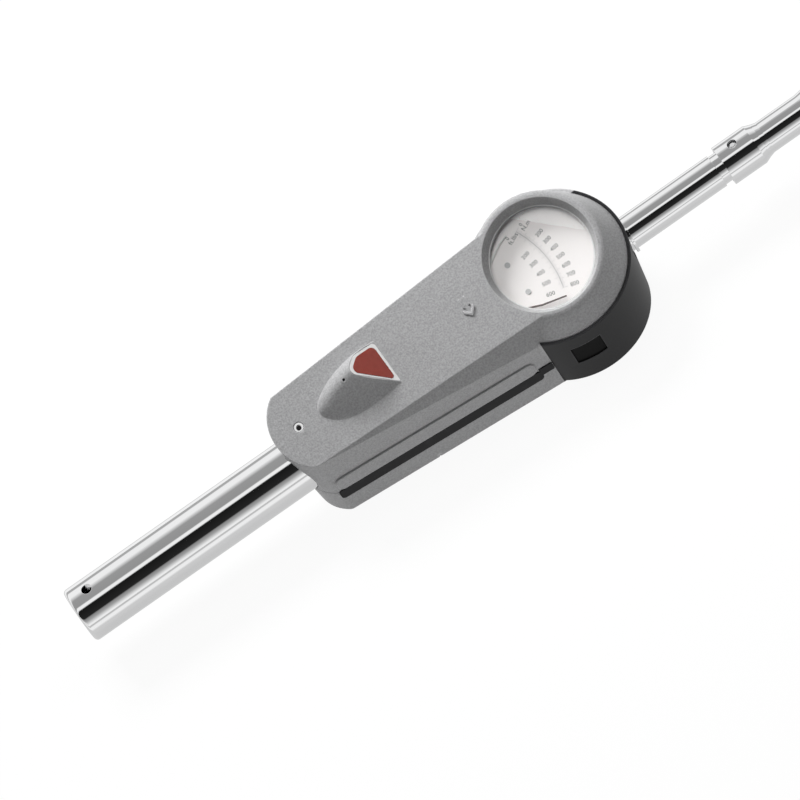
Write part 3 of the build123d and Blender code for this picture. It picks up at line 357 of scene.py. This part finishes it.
def red_lens():
    """Dull red plastic with fine ribs."""
    t = Tree("red_lens")
    ribs = t.add("TexWave", wave_type="BANDS", bands_direction="X")
    t.put(ribs, "Vector", t.coord)
    t.put(ribs, "Scale", 260)
    cloud = t.noise(220, detail=3, rough=0.5)
    t.base(t.mix(cloud, (0.20, 0.030, 0.020), (0.28, 0.046, 0.032)))
    t.bsdf.inputs["Roughness"].default_value = 0.16
    t.bsdf.inputs["Coat Weight"].default_value = 0.6
    t.bsdf.inputs["Coat Roughness"].default_value = 0.05
    t.bsdf.inputs["Subsurface Weight"].default_value = 0.25
    t.bsdf.inputs["Subsurface Radius"].default_value = (0.003, 0.0006, 0.0004)
    relief = t.maths("ADD", ribs.outputs["Fac"], cloud)
    t.put(t.bsdf, "Normal",
          t.bump(relief, distance=0.00003, strength=0.5, under=t.rounded(0.0006)))
    return t.mat


def clear_glass():
    """The dial's window: glass to the camera, and clear to shadow and diffuse rays."""
    t = Tree("window_glass")
    wave = t.noise(40, detail=2, rough=0.5)
    t.base(t.mix(wave, (0.97, 0.98, 0.98), (1.0, 1.0, 1.0)))
    t.bsdf.inputs["Roughness"].default_value = 0.0
    t.bsdf.inputs["IOR"].default_value = 1.3
    t.bsdf.inputs["Transmission Weight"].default_value = 1.0
    t.put(t.bsdf, "Normal", t.bump(wave, distance=0.00002, strength=0.2))
    clear = t.add("BsdfTransparent")
    clear.inputs["Color"].default_value = (0.96, 0.97, 0.97, 1)
    path = t.add("LightPath").outputs
    unseen = t.maths("MAXIMUM", path["Is Shadow Ray"], path["Is Diffuse Ray"])
    surface = t.mix_shader(unseen, t.bsdf.outputs[0], clear.outputs[0])
    t.links.new(surface, t.nodes["Material Output"].inputs["Surface"])
    return t.mat


def card_paint():
    """The dial card's warm white."""
    t = Tree("dial_card")
    fibre = t.noise(700, detail=4, rough=0.6)
    bloom = t.noise(45, detail=3, rough=0.5)
    t.base(t.mix(bloom, (0.93, 0.875, 0.86), (0.945, 0.90, 0.89)))
    t.put(t.bsdf, "Roughness", t.span(fibre, 0.42, 0.56))
    t.put(t.bsdf, "Normal", t.bump(fibre, distance=0.000008, strength=0.4))
    return t.mat


def ink(name, colour):
    """Printed ink, thinner in patches."""
    t = Tree(name)
    patch = t.noise(1500, detail=3, rough=0.6)
    t.base(t.mix(patch, colour, tuple(c * 1.8 + 0.01 for c in colour)))
    t.put(t.bsdf, "Roughness", t.span(patch, 0.45, 0.7))
    return t.mat


def brass():
    """Turned brass, tarnished in patches."""
    t = Tree("brass")
    tarnish = t.noise(140, detail=5, rough=0.6)
    lines = t.noise(1500, detail=3, rough=0.6, stretch=(0.1, 1, 1))
    t.base(t.mix(tarnish, (0.50, 0.34, 0.13), (0.72, 0.53, 0.25)))
    t.bsdf.inputs["Metallic"].default_value = 1.0
    t.put(t.bsdf, "Roughness", t.span(lines, 0.22, 0.42))
    t.put(t.bsdf, "Normal",
          t.bump(lines, distance=0.00001, strength=0.4, under=t.rounded(0.0002)))
    return t.mat


def lacquer(name, low, high, rough):
    """Painted or printed small pieces: two close colours and a faint orange peel."""
    t = Tree(name)
    cloud = t.noise(160, detail=4, rough=0.6)
    peel = t.noise(900, detail=2, rough=0.5)
    t.base(t.mix(cloud, low, high))
    t.put(t.bsdf, "Roughness", t.span(cloud, rough * 0.85, rough * 1.2))
    t.put(t.bsdf, "Normal",
          t.bump(peel, distance=0.00001, strength=0.4, under=t.rounded(0.0002)))
    return t.mat


# One material for each of the record's slots
MATS = {
    "chrome": chrome(),
    "steel": steel("steel"),
    "screw_steel": steel("screw_steel", colour=(0.74, 0.75, 0.76), rough=0.3, grain=(1, 1, 1)),
    "grey_housing": moulded("grey_housing", (0.365, 0.365, 0.37), rough=0.52,
                            grain_mm=1.3, depth_mm=0.14),
    # The black housing's edges carry a strong painted highlight, four times its colour, standing
    # in for its glossy edge highlight.
    "black_housing": moulded("black_housing", (0.014, 0.014, 0.015), rough=0.40,
                             grain_mm=0.9, depth_mm=0.02, edge=0.7, highlight_gain=4.0, shine=0.22),
    "black_strip": rubber("black_strip"),
    "red_lens": red_lens(),
    "light_trim": lacquer("light_trim", (0.66, 0.66, 0.655), (0.74, 0.74, 0.735), rough=0.35),
    "glass": clear_glass(),
    "gasket": lacquer("gasket", (0.70, 0.70, 0.69), (0.78, 0.78, 0.77), rough=0.5),
    "card": card_paint(),
    "hands": lacquer("hands", (0.05, 0.035, 0.03), (0.08, 0.055, 0.05), rough=0.4),
    "needle_paint": lacquer("needle_paint", (0.70, 0.70, 0.68), (0.76, 0.76, 0.74), rough=0.4),
    "brass": brass(),
    "board": lacquer("board", (0.02, 0.14, 0.05), (0.03, 0.20, 0.08), rough=0.45),
    "lamp": lacquer("lamp", (0.55, 0.05, 0.03), (0.65, 0.08, 0.05), rough=0.15),
    "battery": lacquer("battery", (0.05, 0.05, 0.06), (0.08, 0.08, 0.09), rough=0.35),
}

# Nodes that look different from the rest of their slot
REAR_SCREW = tuple((Vector(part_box("rear_screw")[0]) + Vector(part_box("rear_screw")[1])) / 2)
OWN = {
    "rear_screw": socket_screw("rear_screw_steel", REAR_SCREW, tuple(NORMAL), SOCKET_RADIUS),
    "card_screws": lacquer("card_screw_grey", (0.48, 0.47, 0.47), (0.58, 0.57, 0.57), rough=0.6),
    # The shell clips: black plastic, deepened to near-black with little shine as painted shade of
    # the clip windows.
    "shell_clips": rubber("clip_black_painted_shade", colour=(0.003, 0.003, 0.003), shine=0.08),
}

for part in frame["record"]["subparts"]:
    obj = frame["nodes"][part["node"]]
    obj.data.materials.clear()
    obj.data.materials.append(OWN.get(part["node"], MATS[part["material_slot"]]))

INK = ink("dial_ink", (0.035, 0.033, 0.033))
TICK_INK = ink("tick_ink", (0.34, 0.33, 0.33))


# Print on the dial card
def polar(radius, angle):
    """A point in the dial's plane, from the pointer's pivot."""
    return PIVOT[0] + radius * cos(radians(angle)), PIVOT[1] + radius * sin(radians(angle))


def print_text(name, words, radius, angle, size):
    """A numeral or a unit, its line running out along the radius."""
    curve = bpy.data.curves.new(name, "FONT")
    curve.body = words
    curve.size = size
    curve.align_x = "CENTER"
    curve.align_y = "CENTER"
    curve.extrude = 0.00001
    curve.space_character = 1.06
    curve.materials.append(INK)
    obj = add_object(name, curve)
    x, w = polar(radius, angle)
    place = DIAL @ Matrix.Translation((x, w, PRINT_N))
    obj.matrix_world = place @ Matrix.Rotation(radians(angle), 4, "Z")
    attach(obj, "housing")


def flat_mesh(name, faces, material, n, body):
    """Flat shapes in the dial's plane, each a list of (x, w) corners."""
    points, polygons = [], []
    for face in faces:
        polygons.append(list(range(len(points), len(points) + len(face))))
        points += [DIAL @ Vector((x, w, n)) for x, w in face]
    mesh = bpy.data.meshes.new(name)
    mesh.from_pydata(points, [], polygons)
    mesh.materials.append(material)
    obj = add_object(name, mesh)
    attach(obj, body)
    return obj


def bar(r0, r1, angle, width):
    """A tick from one radius to another."""
    turn = radians(angle)
    out = Vector((cos(turn), sin(turn)))
    side = Vector((-sin(turn), cos(turn))) * width / 2
    base = Vector(PIVOT)
    inner, outer = base + out * r0, base + out * r1
    corners = (inner - side, outer - side, outer + side, inner + side)
    return [(c.x, c.y) for c in corners]


def tick_size(load):
    """A tick's length and width, by its load."""
    if load % 100 == 0:
        return 0.0034, 0.0002
    if load % 50 == 0:
        return 0.0026, 0.0002
    return 0.0017, 0.00012


def dial_print():
    sweep = PER_NM * TOP_NM
    inside, outside = ARC - ARC_HALF_WIDTH, ARC + ARC_HALF_WIDTH
    line = []
    for k in range(ARC_STEPS):
        a0 = ZERO - sweep * k / ARC_STEPS
        a1 = ZERO - sweep * (k + 1) / ARC_STEPS
        line.append([polar(inside, a0), polar(inside, a1), polar(outside, a1), polar(outside, a0)])
    arc = flat_mesh("dial_arc", line, INK, PRINT_N, "housing")

    faces = []
    for load in range(0, TOP_NM + 1, 10):
        length, width = tick_size(load)
        faces.append(bar(ARC, ARC + length, ZERO - PER_NM * load, width))
    for load in range(0, TOP_LBF, 10):
        length, width = tick_size(load)
        faces.append(bar(ARC - length, ARC, ZERO - PER_LBF * load, width))
    ticks = flat_mesh("dial_ticks", faces, TICK_INK, PRINT_N, "housing")

    for load in range(FIRST_NUMERAL, TOP_NM + 1, 100):
        print_text("nm_%d" % load, str(load), NM_RADIUS, ZERO - PER_NM * load, NUMERAL_SIZE)
    for load in range(FIRST_NUMERAL, TOP_LBF + 1, 100):
        angle = ZERO - PER_LBF * load + LBF_LIFT - LBF_LIFT_LOSS * load
        print_text("lbf_%d" % load, str(load), LBF_RADIUS, angle, NUMERAL_SIZE)
    print_text("nm_0", "0", 0.0822, 24.9, ZERO_SIZE)
    print_text("lbf_0", "0", 0.0688, 27.6, ZERO_SIZE)
    print_text("nm_unit", "N.m", 0.0835, 22.5, UNIT_SIZE)
    print_text("lbf_unit", "ft.lbs", 0.0706, 24.5, UNIT_SIZE)


# Stage: a white floor and studio light
def floor_paint():
    """White to the camera, matt under the tool's shadow, and banded where chrome mirrors it."""
    t = Tree("floor")
    t.base((0.85, 0.85, 0.85))
    t.bsdf.inputs["Roughness"].default_value = 0.9
    t.bsdf.inputs["Specular IOR Level"].default_value = 0.0
    split = t.add("SeparateXYZ")
    t.links.new(t.coord, split.inputs[0])
    bands = t.ramp(t.span(split.outputs["Y"], 0.0, 1.0, BANDS_FROM, BANDS_TO), *FLOOR_BANDS)
    path = t.add("LightPath").outputs
    white = t.add("Emission")
    white.inputs["Color"].default_value = (1, 1, 1, 1)
    t.put(white, "Strength", t.span(path["Is Diffuse Ray"], 1.0, 1.3))
    mirror = t.add("Emission")
    t.links.new(bands, mirror.inputs["Color"])
    glow = t.mix_shader(path["Is Glossy Ray"], white.outputs[0], mirror.outputs[0])
    seen = t.maths("MAXIMUM", path["Is Camera Ray"],
                   t.maths("MAXIMUM", path["Is Glossy Ray"], path["Is Transmission Ray"]))
    surface = t.mix_shader(t.span(seen, 0.75, 0.94), t.bsdf.outputs[0], glow)
    t.links.new(surface, t.nodes["Material Output"].inputs["Surface"])
    return t.mat


def make_floor():
    low = cad_box[0]
    z = low[2] - FLOOR_DROP
    corners = ((-1, -1), (1, -1), (1, 1), (-1, 1))
    mesh = bpy.data.meshes.new("floor")
    mesh.from_pydata([(x * FLOOR_HALF, y * FLOOR_HALF, z) for x, y in corners], [], [(0, 1, 2, 3)])
    floor = add_object("floor", mesh)
    floor.data.materials.append(floor_paint())


def make_world():
    world = bpy.data.worlds.new("studio")
    scene.world = world
    world.use_nodes = True
    nodes, links = world.node_tree.nodes, world.node_tree.links
    nodes.clear()

    def maths(operation, a, b):
        node = nodes.new("ShaderNodeMath")
        node.operation = operation
        for socket, value in zip(node.inputs, (a, b)):
            if isinstance(value, bpy.types.NodeSocket):
                links.new(value, socket)
            else:
                socket.default_value = value
        return node.outputs[0]

    def mix_shader(fac, a, b):
        node = nodes.new("ShaderNodeMixShader")
        for socket, value in zip(node.inputs, (fac, a, b)):
            links.new(value, socket)
        return node.outputs[0]

    # The ray's angle around the tool's long axis, as 0 to 1
    coord = nodes.new("ShaderNodeTexCoord")
    split = nodes.new("ShaderNodeSeparateXYZ")
    links.new(coord.outputs["Generated"], split.inputs[0])
    angle = maths("ARCTAN2", split.outputs["Z"], maths("MULTIPLY", split.outputs["Y"], -1))
    turn = nodes.new("ShaderNodeMapRange")
    turn.inputs["From Min"].default_value = -pi
    turn.inputs["From Max"].default_value = pi
    links.new(angle, turn.inputs["Value"])

    def sky(stops):
        """A background whose strength follows that angle."""
        ramp = nodes.new("ShaderNodeValToRGB")
        links.new(turn.outputs[0], ramp.inputs["Fac"])
        elements = ramp.color_ramp.elements
        while len(elements) < len(stops):
            elements.new(0.5)
        for element, (place, value) in zip(elements, stops):
            element.position = (place + 180) / 360
            element.color = (value, value, value, 1)
        shader = nodes.new("ShaderNodeBackground")
        links.new(ramp.outputs["Color"], shader.inputs["Color"])
        return shader.outputs[0]

    white = nodes.new("ShaderNodeBackground")
    white.inputs["Color"].default_value = (1, 1, 1, 1)
    white.inputs["Strength"].default_value = 1.0
    path = nodes.new("ShaderNodeLightPath").outputs
    light = mix_shader(path["Is Glossy Ray"], sky(SOFT_SKY), sky(STUDIO_SKY))
    seen = maths("MAXIMUM", path["Is Camera Ray"], path["Is Transmission Ray"])
    output = nodes.new("ShaderNodeOutputWorld")
    links.new(mix_shader(seen, light, white.outputs[0]), output.inputs["Surface"])


def area_light(name, place, target, size, power):
    light = bpy.data.lights.new(name, "AREA")
    light.shape = "RECTANGLE"
    light.size, light.size_y = size
    light.energy = power
    obj = add_object(name, light)
    aim = (Vector(target) - Vector(place)).normalized()
    turn = aim.to_track_quat("-Z", "Y").to_matrix().to_4x4()
    obj.matrix_world = Matrix.Translation(place) @ turn
    obj.visible_glossy = False


dial_print()
make_camera()
make_floor()
make_world()
area_light("key", place=(-0.55, 1.36, 1.70), target=(-0.35, 0, 0), size=(1.0, 0.7), power=58)
area_light("dial", place=(-0.20, 0.03, 0.55), target=(-0.23, 0, 0.04), size=(0.22, 0.22),
           power=1.15)
scene.view_settings.view_transform = "Standard"
